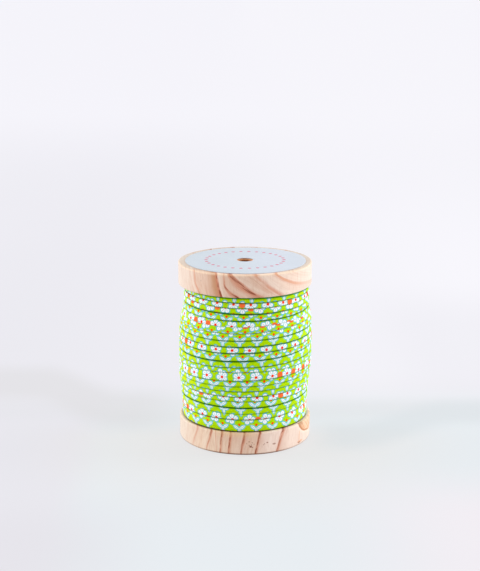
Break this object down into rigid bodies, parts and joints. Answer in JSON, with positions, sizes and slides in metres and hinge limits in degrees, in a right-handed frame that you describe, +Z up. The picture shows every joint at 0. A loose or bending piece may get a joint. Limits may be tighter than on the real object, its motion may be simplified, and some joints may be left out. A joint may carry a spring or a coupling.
{
  "type": "piping trim wound on a wooden spool",
  "caption": "Printed cotton piping wound in close turns on a flanged wooden spool, with a round paper label and a spindle hole right through.",
  "frame": {"origin": "centre of the spool's base", "axes": "+Z up along the spool's axis, -Y towards the front"},
  "size_m": [0.0503, 0.0502, 0.0686],
  "materials": {
    "pine": "bare turned pine, fine growth lines, satin",
    "printed_cotton": "plain-weave cotton, lime green with a small white, pale blue and orange-red print, matte",
    "label_paper": "pale blue paper, smooth, matte"
  },
  "bodies": {
    "root": {"spool": "pine", "wound_piping": "printed_cotton", "label_disc": "label_paper"}
  },
  "joints": []
}
